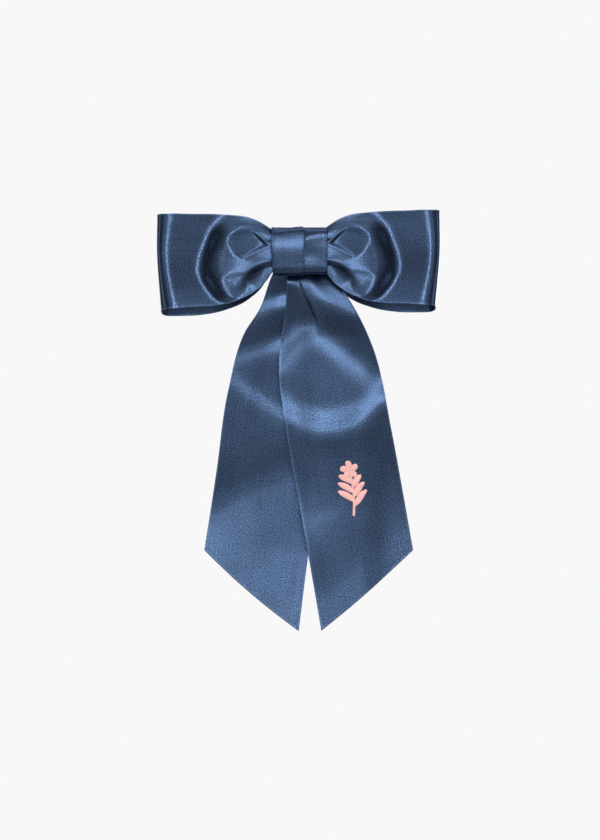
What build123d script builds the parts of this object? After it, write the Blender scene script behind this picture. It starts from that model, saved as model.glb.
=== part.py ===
from build123d import *

import os
from math import asin, cos, radians, sin, sqrt

# A satin hair bow: two hollow ribbon loops, a wide knot band and two long tails, on a sprung
# barrette clip. Sizes are in millimetres. +Z is up, -Y is out of the front of the bow and +Y is
# towards the hair. The origin is in the middle of the gap where the closed clip holds the hair.

# ---- driving sizes: the clip
clip_curve = 260.0          # radius of the back face of the arched plate
plate_back = -5.8           # where that face crosses the middle plane
plate_thickness = 0.8
plate_half_width = 4.5
plate_left, plate_right = -40.0, 41.0
hair_gap = 6.0
arm_thickness = 0.7
arm_half_width = 4.4
leaf_thickness = 0.4
leaf_half_width = 3.1
pin_x, pin_y = -37.5, 4.6
pin_radius = 0.75
pin_hole_radius = 0.77      # in the plate's two lugs
running_hole_radius = 0.80  # in the arm and the tension leaf
catch_x = 37.5

# ---- driving sizes: the ribbons
ribbon_thickness = 0.6
tail_thickness = 1.0
band_thickness = 0.8
knot_half_width = 13.8
knot_half_height = 11.6
knot_front, knot_back = -20.7, -10.8
loop_reach = 68.6
tail_joint_z = -24.0
tail_joint_gap = 1.0
thread_size = 0.5
far = 90.0                  # longer than anything that a profile has to cut through

curve_centre = plate_back + clip_curve


def radius_through(depth):
    """Radius of the clip arc, on the shared centre, that crosses the middle plane at this depth."""
    return curve_centre - depth


def arc_depth(depth, x):
    """Y of that arc at x."""
    return curve_centre - sqrt(radius_through(depth) ** 2 - x**2)


def clip_arc(depth, start, end):
    """Draw the arc between two x positions."""
    middle = (start + end) / 2
    ThreePointArc(
        (start, arc_depth(depth, start)),
        (middle, arc_depth(depth, middle)),
        (end, arc_depth(depth, end)),
    )


# ---- base plate: an arched strip with two lugs for the pin and a sewing hole near each end
plate_middle = plate_back - plate_thickness / 2
sewing_x = 30.0
sewing_hole_radius = 1.1
lug_radius = 2.1
lug_thickness = 0.8

catch_tilt = asin(catch_x / clip_curve)
catch_plane = Plane(
    origin=(catch_x, arc_depth(plate_back, catch_x), 0),
    x_dir=(0, 0, 1),
    z_dir=(-cos(catch_tilt), -sin(catch_tilt), 0),
)                           # local x is up, local y leaves the plate at right angles
rivet_plane = Plane(
    origin=catch_plane.origin,
    x_dir=(0, 0, 1),
    z_dir=(-sin(catch_tilt), cos(catch_tilt), 0),
)                           # local z leaves the plate at right angles
rivet_radius = 0.9
rivet_hole_radius = 0.95

with BuildPart() as base_plate:
    with BuildSketch(Plane.XY):
        with BuildLine():
            clip_arc(plate_middle, plate_left, plate_right)
        trace(line_width=plate_thickness)
    extrude(amount=plate_half_width, both=True)
    with BuildSketch(Plane.XZ.offset(far)):
        with Locations(((plate_left + plate_right) / 2, 0)):
            RectangleRounded(plate_right - plate_left, 2 * plate_half_width, 1.2)
        with Locations((-sewing_x, 0), (sewing_x, 0)):
            Circle(sewing_hole_radius, mode=Mode.SUBTRACT)
    extrude(amount=-2 * far, mode=Mode.INTERSECT)
    with BuildSketch(Plane.XY.offset(plate_half_width - lug_thickness)):
        with Locations((pin_x, pin_y)):
            Circle(lug_radius)
        with Locations((pin_x, (pin_y + plate_middle + 2.8) / 2)):
            Rectangle(2 * lug_radius, pin_y - plate_middle - 2.8)
        with Locations((pin_x, pin_y)):
            Circle(pin_hole_radius, mode=Mode.SUBTRACT)
    extrude(amount=lug_thickness)
    mirror(about=Plane.XY)
    with BuildSketch(rivet_plane.offset(-2)):
        Circle(rivet_hole_radius)
    extrude(amount=4, mode=Mode.SUBTRACT)
base_plate.part.label = "base_plate"

# ---- hinge pin with a peened head at each end
pin_half_length = plate_half_width + 0.05
with BuildPart() as hinge_pin:
    with BuildSketch(Plane.XY):
        with Locations((pin_x, pin_y)):
            Circle(pin_radius)
    extrude(amount=pin_half_length, both=True)
    with BuildSketch(Plane.XY.offset(pin_half_length), Plane.XY.offset(-pin_half_length - 0.4)):
        with Locations((pin_x, pin_y)):
            Circle(1.15)
    extrude(amount=0.4)
    fillet(hinge_pin.edges().group_by(Axis.Z)[-1] + hinge_pin.edges().group_by(Axis.Z)[0], 0.25)
hinge_pin.part.label = "hinge_pin"

# ---- catch bracket riveted to the back of the plate's free end
bracket_thickness = 0.6
bracket_half_length = 3.3
bracket_half_width = 3.2
bracket_gap = 0.02
bracket_top = bracket_gap + bracket_thickness
with BuildPart() as catch_bracket:
    with BuildSketch(Plane.XY):
        with BuildLine():
            clip_arc(
                plate_back + bracket_gap + bracket_thickness / 2,
                catch_x - bracket_half_length,
                catch_x + bracket_half_length,
            )
        trace(line_width=bracket_thickness)
    extrude(amount=bracket_half_width, both=True)
    with BuildSketch(rivet_plane.offset(-2)):
        Circle(rivet_hole_radius)
    extrude(amount=4, mode=Mode.SUBTRACT)
catch_bracket.part.label = "catch_bracket"

with BuildPart() as catch_rivet:
    with BuildSketch(rivet_plane.offset(-plate_thickness - 0.05)):
        Circle(rivet_radius)
    extrude(amount=plate_thickness + bracket_top + 0.1)
    with BuildSketch(
        rivet_plane.offset(-plate_thickness - 0.5), rivet_plane.offset(bracket_top + 0.03)
    ):
        Circle(1.45)
    extrude(amount=0.45)
catch_rivet.part.label = "catch_rivet"

# ---- catch ears: two spring prongs that stand through the arm's window and barb over it
ear_inner, ear_outer = 2.3, 2.9
ear_half_length = 1.5
ear_foot = bracket_top + 0.15
arm_outer_height = hair_gap / 2 + arm_thickness - plate_back
barb_height = arm_outer_height + 0.2
with BuildPart() as catch_ear_upper:
    with BuildSketch(catch_plane):
        with BuildLine():
            Polyline(
                (ear_inner, ear_foot),
                (ear_outer, ear_foot),
                (ear_outer, barb_height),
                (ear_outer + 0.9, barb_height),
                (ear_outer + 0.9, barb_height + 0.3),
                (ear_outer - 0.1, barb_height + 1.6),
                (ear_inner, barb_height + 1.6),
                close=True,
            )
        make_face()
    extrude(amount=ear_half_length, both=True)
catch_ear_upper.part.label = "catch_ear_upper"

with BuildPart() as catch_ear_lower:
    add(catch_ear_upper.part.mirror(Plane.XY))
catch_ear_lower.part.label = "catch_ear_lower"

# ---- clip arm: an arched strip with a rolled barrel, a window for the catch and a thumb tab
arm_middle = hair_gap / 2 + arm_thickness / 2
barrel_radius = 1.55
barrel_half_length = 2.1
arm_tab_start = 41.0
neck_end = pin_x + 3.2
window_x = catch_x - (arm_middle - plate_back) * sin(catch_tilt)
tab_slope = arm_tab_start / sqrt(radius_through(arm_middle) ** 2 - arm_tab_start**2)
with BuildPart() as clip_arm:
    with BuildSketch(Plane.XY):
        with BuildLine():
            clip_arc(arm_middle, pin_x, arm_tab_start)
            TangentArc(
                (arm_tab_start, arc_depth(arm_middle, arm_tab_start)),
                (arm_tab_start + 3.0, arc_depth(arm_middle, arm_tab_start) + 2.0),
                tangent=(1, tab_slope),
            )
        trace(line_width=arm_thickness)
    extrude(amount=arm_half_width, both=True)
    with BuildSketch(Plane.XZ.offset(far)):
        with Locations(((neck_end + arm_tab_start + 4) / 2, 0)):
            RectangleRounded(arm_tab_start + 4 - neck_end, 2 * arm_half_width, 2.0)
        with Locations((neck_end, 0)):
            Rectangle(8, 2 * barrel_half_length)
        with Locations((window_x, 0)):
            RectangleRounded(4.4, 6.4, 0.5, mode=Mode.SUBTRACT)
    extrude(amount=-2 * far, mode=Mode.INTERSECT)
    with BuildSketch(Plane.XY):
        with Locations((pin_x, pin_y)):
            Circle(barrel_radius)
    extrude(amount=barrel_half_length, both=True)
    with BuildSketch(Plane.XY.offset(-barrel_half_length)):
        with Locations((pin_x, pin_y)):
            Circle(running_hole_radius)
    extrude(amount=2 * barrel_half_length, mode=Mode.SUBTRACT)
clip_arm.part.label = "clip_arm"

# ---- tension leaf: a thin sprung strip with two eyes on the same pin
leaf_middle = -hair_gap / 2 - leaf_thickness / 2
leaf_left, leaf_right = pin_x + 2.3, 32.0
eye_radius = 1.5
eye_inner, eye_outer = 2.5, leaf_half_width
with BuildPart() as tension_leaf:
    with BuildSketch(Plane.XY):
        with BuildLine():
            clip_arc(leaf_middle, leaf_left, leaf_right)
        trace(line_width=leaf_thickness)
    extrude(amount=leaf_half_width, both=True)
    with BuildSketch(Plane.XZ.offset(far)):
        with Locations(((leaf_left + leaf_right) / 2, 0)):
            RectangleRounded(leaf_right - leaf_left, 2 * leaf_half_width, 0.8)
    extrude(amount=-2 * far, mode=Mode.INTERSECT)
    with BuildSketch(Plane.XY.offset(eye_inner)):
        with BuildLine():
            Polyline(
                (pin_x - eye_radius, pin_y),
                (leaf_left + 0.1, arc_depth(leaf_middle, leaf_left)),
                (leaf_left + 2.4, arc_depth(leaf_middle, leaf_left + 2.4)),
                (pin_x + eye_radius, pin_y),
                close=True,
            )
        make_face()
        with Locations((pin_x, pin_y)):
            Circle(eye_radius)
            Circle(running_hole_radius, mode=Mode.SUBTRACT)
    extrude(amount=eye_outer - eye_inner)
    mirror(about=Plane.XY)
    with BuildSketch(Plane.XY.offset(-far)):
        with Locations((pin_x, pin_y)):
            Circle(running_hole_radius)
    extrude(amount=2 * far, mode=Mode.SUBTRACT)
tension_leaf.part.label = "tension_leaf"

# ---- felt pad between the plate and the ribbons
felt_thickness = 1.0
felt_front = plate_back - plate_thickness - 0.02 - felt_thickness
felt_half_length = 34.0
felt_half_width = 6.0
with BuildPart() as felt_pad:
    with BuildSketch(Plane.XY):
        with BuildLine():
            clip_arc(felt_front + felt_thickness / 2, -felt_half_length, felt_half_length)
        trace(line_width=felt_thickness)
    extrude(amount=felt_half_width, both=True)
    with BuildSketch(Plane.XZ.offset(far)):
        RectangleRounded(2 * felt_half_length, 2 * felt_half_width, 4.0)
    extrude(amount=-2 * far, mode=Mode.INTERSECT)
felt_pad.part.label = "felt_pad"

# ---- loop ribbon: two hollow loops that close into one gathered waist inside the knot
waist_half_width = 11.0
waist_half_height = 9.9
waist_front, waist_back = -19.2, -12.3
loop_lean = 0.15            # the loops lean, so the back of each hangs lower than its front
loop_plane = Plane(origin=(0, -15, 0), x_dir=(1, 0, 0), z_dir=(0, -1, loop_lean))
with BuildPart() as loop_ribbon:
    with BuildSketch(Plane.XY.offset(-40)):
        with BuildLine():
            Spline(
                (-waist_half_width + 1, -17.2),
                (-knot_half_width, -17.4),
                (-30, -21.4),
                (-48, -23.0),
                (-62, -21.2),
                (-loop_reach + ribbon_thickness / 2, -14.2),
                (-65, -6.8),
                (-57, -3.8),
                (-45, -4.8),
                (-31, -7.2),
                (-20, -10.6),
                (-knot_half_width, -13.2),
                (-waist_half_width + 1, -13.6),
            )
        trace(line_width=ribbon_thickness)
    extrude(amount=70)
    with BuildSketch(loop_plane.offset(far)):
        with BuildLine():
            Spline((-8, 8.6), (-knot_half_width, 9.6), (-24, 15.4), (-42, 17.4), (-56, 18.3))
            Line((-56, 18.3), (-72, 19.0))
            Line((-72, 19.0), (-72, -30.0))
            Line((-72, -30.0), (-64, -30.0))
            Spline((-64, -30.0), (-40, -27.2), (-24, -21.2), (-knot_half_width, -9.8), (-8, -8.6))
            Line((-8, -8.6), (-8, 8.6))
        make_face()
    extrude(amount=-2 * far, mode=Mode.INTERSECT)
    mirror(about=Plane.YZ)
    with BuildSketch(Plane.YZ):
        with Locations(((waist_front + waist_back) / 2, 0)):
            RectangleRounded(waist_back - waist_front, 2 * waist_half_height, 2.8)
    extrude(amount=waist_half_width, both=True)
loop_ribbon.part.label = "loop_ribbon"

# ---- gathering thread: three wraps that draw the loops in to the waist
with BuildPart() as gathering_thread:
    for wrap_x in (-1.4, 0.0, 1.4):
        with BuildSketch(Plane.YZ.offset(wrap_x - 0.2)):
            with Locations(((waist_front + waist_back) / 2, 0)):
                RectangleRounded(waist_back - waist_front + 0.9, 2 * waist_half_height + 0.9, 3.25)
                RectangleRounded(
                    waist_back - waist_front + 0.1,
                    2 * waist_half_height + 0.1,
                    2.85,
                    mode=Mode.SUBTRACT,
                )
        extrude(amount=0.4)
gathering_thread.part.label = "gathering_thread"

# ---- knot band: one turn around the waist, and its folded end laid over the front
knot_middle = (knot_front + knot_back) / 2
knot_depth = knot_back - knot_front
fold_x = 1.8
fold_thickness = 0.5
with BuildPart() as knot_band:
    with BuildSketch(Plane.YZ):
        with Locations((knot_middle, 0)):
            RectangleRounded(knot_depth, 2 * knot_half_height, 4.2)
    extrude(amount=knot_half_width, both=True)
    with BuildSketch(Plane.YZ.offset(-knot_half_width)):
        with Locations((knot_middle - fold_thickness, 0)):
            RectangleRounded(knot_depth, 2 * (knot_half_height + fold_thickness), 4.6)
    extrude(amount=knot_half_width + fold_x)
    with BuildSketch(Plane.YZ.offset(-far)):
        with Locations((knot_middle, 0)):
            RectangleRounded(
                knot_depth - 2 * band_thickness, 2 * (knot_half_height - band_thickness), 3.4
            )
    extrude(amount=2 * far, mode=Mode.SUBTRACT)
knot_band.part.label = "knot_band"

# ---- seam stitches that close the band at the back of the knot
with BuildPart() as band_seam_stitches:
    with BuildSketch(Plane.XZ.offset(0.15 - knot_back)):
        with Locations((0, 4)):
            with GridLocations(3.6, 1, 7, 1):
                SlotOverall(2.2, thread_size)
    extrude(amount=-0.3)
band_seam_stitches.part.label = "band_seam_stitches"

# ---- tails: each hangs from a folded head behind the knot; below the joint it swings
tail_shapes = {
    "left_tail": {
        "fall": [(-8.5, 9), (-8.5, -10), (-8.7, -24), (-9.3, -50), (-8.4, -100), (-6.8, -188)],
        "outer": [
            (-14.4, -13.6), (-18.3, -27.7), (-26.7, -40.1), (-34.6, -68.2), (-40.4, -107), (-46.4, -147)
        ],
        "inner": [(-0.3, -186.2), (4.5, -148), (12.2, -98), (17, -62), (14, -32), (10.4, -13.6)],
    },
    "right_tail": {
        "fall": [(-9.9, 9), (-9.9, -10), (-10.3, -24), (-13.4, -50), (-13, -100), (-11, -188)],
        "outer": [
            (14.4, -13.6), (23.4, -22.5), (35.7, -46.8), (44.7, -86.2), (49.6, -112), (55.7, -146.4)
        ],
        "inner": [
            (10.7, -185.5), (4.2, -147), (-3.7, -100.8), (-10.2, -55), (-6.5, -25.5), (-6, -13.6)
        ],
    },
}
head_half_width = 9.5
head_top = 8.0
tail_parts = {}
for name, shape in tail_shapes.items():
    side = 1 if name == "right_tail" else -1
    with BuildPart() as whole_tail:
        with BuildSketch(Plane.YZ.offset(-far)):
            with BuildLine():
                Spline(shape["fall"])
            trace(line_width=tail_thickness)
        extrude(amount=2 * far)
        with BuildSketch(Plane.XZ.offset(far)):
            with BuildLine():
                outer_edge = Spline(shape["outer"])
                hem = Line(outer_edge @ 1, shape["inner"][0])
                inner_edge = Spline(shape["inner"])
                Polyline(
                    inner_edge @ 1,
                    (-side * head_half_width * 0.6, -12.2),
                    (-side * head_half_width * 0.6, head_top),
                    (side * head_half_width, head_top),
                    (side * head_half_width, -12.2),
                    outer_edge @ 0,
                )
            make_face()
        extrude(amount=-2 * far, mode=Mode.INTERSECT)
    with BuildPart() as tail_head:
        add(whole_tail.part)
        split(bisect_by=Plane.XY.offset(tail_joint_z + tail_joint_gap / 2), keep=Keep.TOP)
    tail_head.part.label = name + "_head"
    with BuildPart() as tail:
        add(whole_tail.part)
        split(bisect_by=Plane.XY.offset(tail_joint_z - tail_joint_gap / 2), keep=Keep.BOTTOM)
    tail.part.label = name
    tail_parts[tail_head.part.label] = tail_head.part
    tail_parts[tail.part.label] = tail.part

# ---- mounting stitches: thread loops that tie the clip on, round the plate's middle and ends
with BuildPart() as mounting_stitches:
    for stitch_x in (-6.0, 6.0):
        stitch_back = arc_depth(plate_back, stitch_x) + 0.35
        stitch_front = knot_back - band_thickness - 0.25
        with BuildSketch(Plane.YZ.offset(stitch_x - thread_size / 2)):
            with Locations(((stitch_back + stitch_front) / 2, 0)):
                RectangleRounded(stitch_back - stitch_front + 0.4, 2 * plate_half_width + 1.6, 0.6)
                RectangleRounded(
                    stitch_back - stitch_front - 0.4, 2 * plate_half_width + 0.6, 0.2,
                    mode=Mode.SUBTRACT,
                )
        extrude(amount=thread_size)
    for stitch_x in (-sewing_x, sewing_x):
        stitch_back = arc_depth(plate_back, stitch_x) + 0.35
        stitch_front = -7.9
        with BuildSketch(Plane.YZ.offset(stitch_x - thread_size / 2)):
            for side in (-1, 1):
                with Locations(((stitch_back + stitch_front) / 2, side * 2.75)):
                    RectangleRounded(stitch_back - stitch_front + 0.4, 5.3, 0.6)
                    RectangleRounded(
                        stitch_back - stitch_front - 0.4, 4.4, 0.2, mode=Mode.SUBTRACT
                    )
        extrude(amount=thread_size)
mounting_stitches.part.label = "mounting_stitches"

# ---- embroidered sprig, laid on the front of the right tail and leaning with it
sprig_height = 27.0
sprig_lean = radians(9)
sprig_thickness = 0.6
sprig_plane = Plane(
    origin=(25.8, -13.0, -116),
    x_dir=(cos(sprig_lean), 0, sin(sprig_lean)),
    z_dir=(0, -1, -0.015),
)
leaf_angle = 42
leaf_rows = ((-8.5, 4.6), (-4.0, 4.2), (0.5, 3.6))  # height on the stem, half length
flower_height = 9.0
petal_count = 5
with BuildPart() as embroidered_sprig:
    with BuildSketch(sprig_plane):
        with BuildLine():
            ThreePointArc((-1.4, -sprig_height / 2), (0.3, -3), (0, flower_height))
        trace(line_width=1.2)
        for row_height, half_length in leaf_rows:
            out = 0.95 * half_length * cos(radians(leaf_angle))
            up = 0.95 * half_length * sin(radians(leaf_angle))
            with Locations(Location((out, row_height + up, 0), leaf_angle)):
                Ellipse(half_length, 1.55)
            with Locations(Location((-out, row_height + up + 1.8, 0), 180 - leaf_angle)):
                Ellipse(half_length, 1.55)
        with Locations((0, flower_height)):
            Circle(1.6)
            with PolarLocations(2.4, petal_count, start_angle=90):
                Ellipse(2.1, 1.5)
    extrude(amount=sprig_thickness)
embroidered_sprig.part.label = "embroidered_sprig"

os.makedirs("parts", exist_ok=True)
finished = [
    base_plate.part,
    hinge_pin.part,
    catch_bracket.part,
    catch_rivet.part,
    catch_ear_upper.part,
    catch_ear_lower.part,
    clip_arm.part,
    tension_leaf.part,
    felt_pad.part,
    loop_ribbon.part,
    gathering_thread.part,
    knot_band.part,
    band_seam_stitches.part,
    *tail_parts.values(),
    mounting_stitches.part,
    embroidered_sprig.part,
]
for piece in finished:
    export_step(piece, "parts/" + piece.label + ".step")
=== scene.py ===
import math

import bpy
import numpy as np
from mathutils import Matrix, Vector
from mathutils.bvhtree import BVHTree


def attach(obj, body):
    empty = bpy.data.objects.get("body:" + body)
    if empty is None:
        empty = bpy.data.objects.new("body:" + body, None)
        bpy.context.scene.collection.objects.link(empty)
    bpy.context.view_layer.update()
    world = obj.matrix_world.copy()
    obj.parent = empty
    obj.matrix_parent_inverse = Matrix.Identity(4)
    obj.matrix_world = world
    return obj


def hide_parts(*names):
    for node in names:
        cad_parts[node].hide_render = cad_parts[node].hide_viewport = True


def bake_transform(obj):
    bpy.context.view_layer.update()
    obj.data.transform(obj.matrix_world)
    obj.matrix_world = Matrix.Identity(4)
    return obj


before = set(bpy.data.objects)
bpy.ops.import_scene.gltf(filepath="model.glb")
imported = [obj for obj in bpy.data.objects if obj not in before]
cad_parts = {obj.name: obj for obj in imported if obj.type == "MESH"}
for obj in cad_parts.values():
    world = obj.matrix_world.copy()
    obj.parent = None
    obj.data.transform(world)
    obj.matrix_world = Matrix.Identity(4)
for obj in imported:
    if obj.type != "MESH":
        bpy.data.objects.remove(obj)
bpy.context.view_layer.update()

# The ribbons are built in millimetres, as heights above the row frame's X-Z plane: "lift" is the
# distance towards the viewer, -Y. MM turns a finished mesh into metres.
MM = 0.001
RIBBON = 51.0          # width of the ribbon
HALF = RIBBON / 2
SHEET = 0.34           # thickness of the satin
SELVEDGE = 0.9         # width of the woven edge

CAMERA = (0.3, -1112.0, -82.8)    # places of the camera and of the key light
KEY = (0.0, -1400.0, 300.0)
MIDDLE = (0, 0, -0.06)            # what every lamp is aimed at, in metres
PAPER = (0.938, 0.938, 0.938, 1)  # the plain ground behind and below the bow


# ---------------------------------------------------------------- curves and small helpers
def smooth(low, high, x):
    t = np.clip((x - low) / (high - low), 0, 1)
    return t * t * (3 - 2 * t)


def curve(points, at):
    """A smooth curve through (key, value) points, read at the given keys."""
    p = np.array(points, float)
    p = p[np.argsort(p[:, 0])]
    k, v = p[:, 0], p[:, 1]
    m = np.gradient(v, k)
    at = np.clip(at, k[0], k[-1])
    i = np.clip(np.searchsorted(k, at) - 1, 0, len(k) - 2)
    h = k[i + 1] - k[i]
    t = (at - k[i]) / h
    return (
        (2 * t**3 - 3 * t**2 + 1) * v[i]
        + (t**3 - 2 * t**2 + t) * h * m[i]
        + (3 * t**2 - 2 * t**3) * v[i + 1]
        + (t**3 - t**2) * h * m[i + 1]
    )


def swap(points):
    return [(b, a) for a, b in points]


def ease(t, edge=0.25):
    """From 0 to 1 with no slope at the ends and an even slope between."""
    t = np.clip(t, 0, 1)
    s = 1 / (1 - edge)
    rise = s * t**2 / (2 * edge)
    fall = 1 - s * (1 - t) ** 2 / (2 * edge)
    return np.where(t < edge, rise, np.where(t > 1 - edge, fall, s * (t - edge / 2)))


def across_rows(count):
    """Places across a ribbon, with extra rows for the woven edges."""
    edge = np.array([0, 0.25, 0.5, SELVEDGE, SELVEDGE + 0.3])
    inner = np.linspace(-HALF + 1.8, HALF - 1.8, count)
    return np.concatenate([-HALF + edge, inner, HALF - edge[::-1]])


def thickness_at(u):
    """The woven edge is a little thicker than the satin."""
    return SHEET + 0.22 * smooth(HALF - SELVEDGE - 0.2, HALF - SELVEDGE + 0.3, np.abs(u))


def grid_normals(p, closed):
    if closed:
        along = np.roll(p, -1, 0) - np.roll(p, 1, 0)
    else:
        along = np.gradient(p, axis=0)
    n = np.cross(along, np.gradient(p, axis=1))
    return n / np.maximum(np.linalg.norm(n, axis=-1, keepdims=True), 1e-9)


def ribbon(name, p, u, v, thick, closed=False):
    """A two-sided sheet over a grid of points: rows run along the ribbon, columns across it.
    u and v are the distances across and along it, for the weave."""
    n, m = p.shape[:2]
    normal = grid_normals(p, closed)
    half = 0.5 * np.broadcast_to(thick, (n, m))[..., None]
    front, back = p + normal * half, p - normal * half
    points = np.concatenate([front.reshape(-1, 3), back.reshape(-1, 3)])
    i, j = np.meshgrid(np.arange(n if closed else n - 1), np.arange(m - 1), indexing="ij")
    i, j = i.ravel(), j.ravel()
    k = (i + 1) % n
    top = np.stack([i * m + j, k * m + j, k * m + j + 1, i * m + j + 1], 1)
    faces = [top, top[:, ::-1] + n * m]
    cells = [np.stack([i, i + 1, i + 1, i], 1), np.stack([i, i + 1, i + 1, i], 1)[:, ::-1]]
    sides = [np.stack([j, j, j + 1, j + 1], 1), np.stack([j, j, j + 1, j + 1], 1)[:, ::-1]]
    ii = np.arange(n if closed else n - 1)
    kk = (ii + 1) % n
    for column, flip in ((0, False), (m - 1, True)):
        near, far = ii * m + column, kk * m + column
        rim = np.stack([near, near + n * m, far + n * m, far], 1)
        faces.append(rim[:, ::-1] if flip else rim)
        a = np.stack([ii, ii, ii + 1, ii + 1], 1)
        cells.append(a[:, ::-1] if flip else a)
        sides.append(np.full(a.shape, column))
    if not closed:
        jj = np.arange(m - 1)
        for row, flip in ((0, True), (n - 1, False)):
            near = row * m + jj
            rim = np.stack([near, near + n * m, near + 1 + n * m, near + 1], 1)
            faces.append(rim[:, ::-1] if flip else rim)
            cells.append(np.full(rim.shape, row))
            a = np.stack([jj, jj, jj + 1, jj + 1], 1)
            sides.append(a[:, ::-1] if flip else a)
    faces, cells, sides = (np.concatenate(x).astype(int) for x in (faces, cells, sides))
    return make_mesh(name, points, faces, np.stack([u[cells, sides], v[cells, sides]], -1))


def make_mesh(name, points, faces, uv=None):
    mesh = bpy.data.meshes.new(name)
    mesh.from_pydata((np.asarray(points) * MM).tolist(), [], [list(map(int, f)) for f in faces])
    if uv is not None:
        layer = mesh.uv_layers.new(name="weave")
        layer.data.foreach_set("uv", (uv.reshape(-1, 2) / RIBBON + (0.5, 0.0)).ravel())
    mesh.polygons.foreach_set("use_smooth", [True] * len(mesh.polygons))
    mesh.update()
    piece = bpy.data.objects.new(name, mesh)
    bpy.context.scene.collection.objects.link(piece)
    return piece


# ---------------------------------------------------------------- materials
def nodes_of(name):
    material = bpy.data.materials.new(name)
    material.use_nodes = True
    tree = material.node_tree
    return material, tree, tree.nodes["Principled BSDF"]


def link(tree, a, out, b, into):
    tree.links.new(a.outputs[out], b.inputs[into])


def add(tree, kind, **values):
    node = tree.nodes.new("ShaderNode" + kind)
    for key, value in values.items():
        if key in node.inputs:
            node.inputs[key].default_value = value
        else:
            setattr(node, key, value)
    return node


def math_node(tree, operation, a, b=None, c=None):
    node = tree.nodes.new("ShaderNodeMath")
    node.operation = operation
    for slot, value in enumerate((a, b, c)):
        if value is None:
            continue
        if isinstance(value, tuple):
            tree.links.new(value[0].outputs[value[1]], node.inputs[slot])
        else:
            node.inputs[slot].default_value = value
    return node


def ramp(tree, low, high, colours=((0, 0, 0, 1), (1, 1, 1, 1))):
    node = tree.nodes.new("ShaderNodeValToRGB")
    for element, place, colour in zip(node.color_ramp.elements, (low, high), colours):
        element.position = place
        element.color = colour
    return node


def satin(name, dark, light, edge):
    """Satin whose threads float along the ribbon: its shine is narrow along it and wide across."""
    material, tree, shader = nodes_of(name)
    uv = add(tree, "UVMap", uv_map="weave")
    split = add(tree, "SeparateXYZ")
    link(tree, uv, "UV", split, 0)
    from_middle = math_node(tree, "SUBTRACT", (split, 0), 0.5)
    away = math_node(tree, "ABSOLUTE", (from_middle, 0))
    woven = ramp(tree, 0.482, 0.488)      # the woven edge, by its distance from the middle
    link(tree, away, 0, woven, 0)
    threads = add(tree, "Mapping", Scale=(96.0, 88.0, 1.0))
    link(tree, uv, "UV", threads, "Vector")
    grain = add(tree, "TexNoise", Scale=1.0, Detail=1.0, Roughness=0.5)
    link(tree, threads, "Vector", grain, "Vector")
    lines = add(tree, "Mapping", Scale=(70.0, 1.2, 1.0))
    link(tree, uv, "UV", lines, "Vector")
    streaks = add(tree, "TexNoise", Scale=1.0, Detail=2.0, Roughness=0.5)
    link(tree, lines, "Vector", streaks, "Vector")
    cloud = add(tree, "TexNoise", Scale=3.0, Detail=3.0)
    link(tree, uv, "UV", cloud, "Vector")
    a = math_node(tree, "MULTIPLY", (streaks, 0), 0.45)
    b = math_node(tree, "MULTIPLY_ADD", (cloud, 0), 0.55, (a, 0))
    tone = ramp(tree, 0.30, 0.70, (dark, light))
    link(tree, b, 0, tone, 0)
    colour = add(tree, "Mix", data_type="RGBA")
    link(tree, woven, 0, colour, 0)
    tree.links.new(tone.outputs[0], colour.inputs[6])
    colour.inputs[7].default_value = edge
    doubled = math_node(tree, "MULTIPLY", (grain, 0), 1.96)
    speckle = math_node(tree, "POWER", (doubled, 0), 1.7)
    spotted = add(tree, "VectorMath", operation="SCALE")
    tree.links.new(colour.outputs[2], spotted.inputs[0])
    tree.links.new(speckle.outputs[0], spotted.inputs["Scale"])
    link(tree, spotted, 0, shader, "Base Color")
    rough = math_node(tree, "MULTIPLY_ADD", (grain, 0), 0.12, 0.25)
    rougher = math_node(tree, "MULTIPLY_ADD", (woven, 0), 0.15, (rough, 0))
    link(tree, rougher, 0, shader, "Roughness")
    bump = add(tree, "Bump", Strength=1.0, Distance=0.00006)
    link(tree, grain, 0, bump, "Height")
    link(tree, bump, 0, shader, "Normal")
    tangent = add(tree, "Tangent", direction_type="UV_MAP", uv_map="weave")
    link(tree, tangent, 0, shader, "Tangent")
    shader.inputs["Metallic"].default_value = 0.95
    shader.inputs["Anisotropic"].default_value = 1.0
    shader.inputs["Anisotropic Rotation"].default_value = 0.0
    return material


def metal(name, colour, roughness, grain_scale, bump_depth):
    material, tree, shader = nodes_of(name)
    place = add(tree, "TexCoord")
    stretch = add(tree, "Mapping", Scale=grain_scale)
    link(tree, place, "Object", stretch, "Vector")
    grain = add(tree, "TexNoise", Scale=1.0, Detail=4.0, Roughness=0.6)
    link(tree, stretch, "Vector", grain, "Vector")
    wear = add(tree, "TexNoise", Scale=130.0, Detail=3.0)
    link(tree, place, "Object", wear, "Vector")
    tone = ramp(tree, 0.3, 0.75, (tuple(0.82 * c for c in colour) + (1,), colour + (1,)))
    link(tree, wear, 0, tone, 0)
    link(tree, tone, 0, shader, "Base Color")
    rough = math_node(tree, "MULTIPLY_ADD", (grain, 0), 0.14, roughness - 0.07)
    link(tree, rough, 0, shader, "Roughness")
    bump = add(tree, "Bump", Strength=0.25, Distance=bump_depth)
    link(tree, grain, 0, bump, "Height")
    link(tree, bump, 0, shader, "Normal")
    shader.inputs["Metallic"].default_value = 1.0
    return material


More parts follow.
